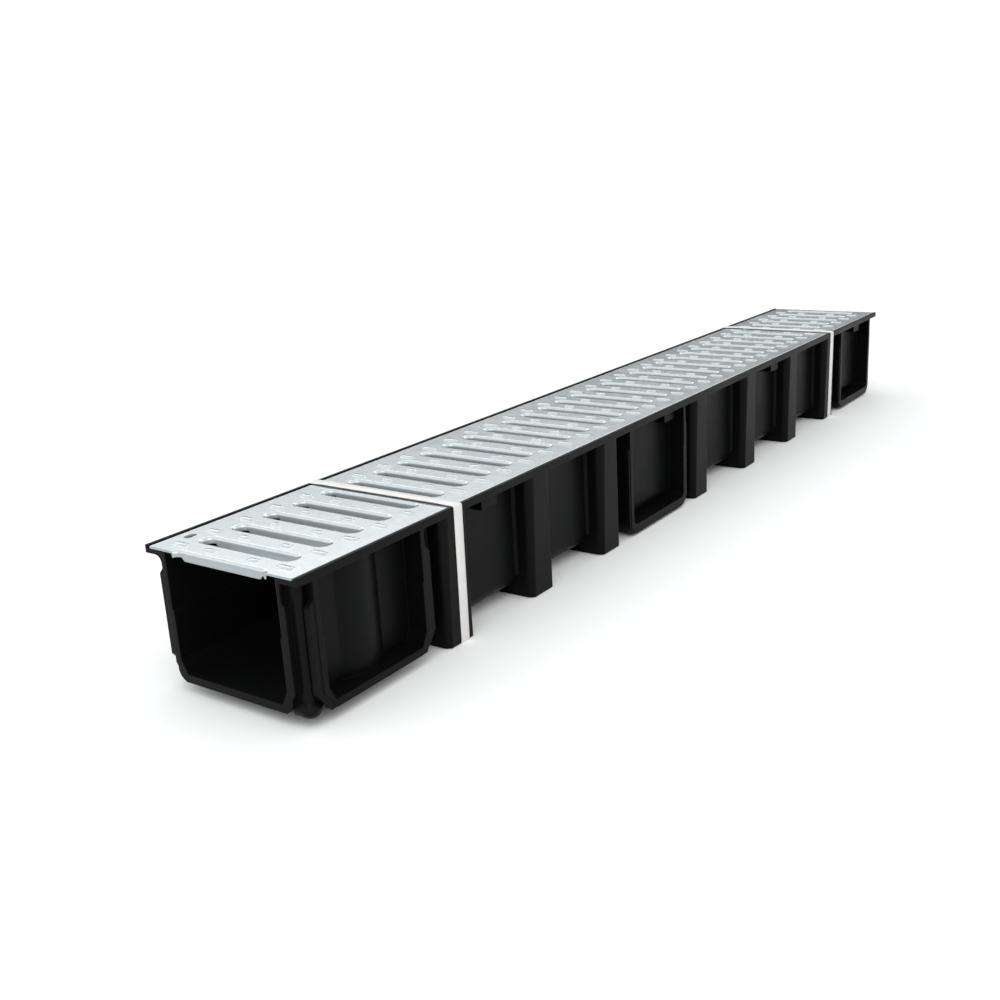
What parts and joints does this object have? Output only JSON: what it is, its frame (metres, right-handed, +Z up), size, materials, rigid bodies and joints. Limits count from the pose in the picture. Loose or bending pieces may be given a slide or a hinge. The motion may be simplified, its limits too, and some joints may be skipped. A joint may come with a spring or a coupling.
{
  "type": "drainage channel",
  "caption": "Plastic drainage channel with box ribs and branch frames, closed by a pressed steel slotted grating and held by two straps.",
  "frame": {"origin": "middle of the channel's length and width, on the surface it stands on, which is the undersides of the two straps", "axes": "+X along the channel, from the end with the round post to the other end; +Y across it, towards the side with the hole in the grating; +Z up"},
  "size_m": [1, 0.1312, 0.0981],
  "materials": {
    "channel_plastic": "moulded black polypropylene",
    "galvanised_steel": "hot-dip galvanised sheet",
    "strap_plastic": "embossed polypropylene band"
  },
  "bodies": {
    "root": {"channel": "channel_plastic", "grating": "galvanised_steel", "strap_front": "strap_plastic", "strap_rear": "strap_plastic"}
  },
  "joints": []
}
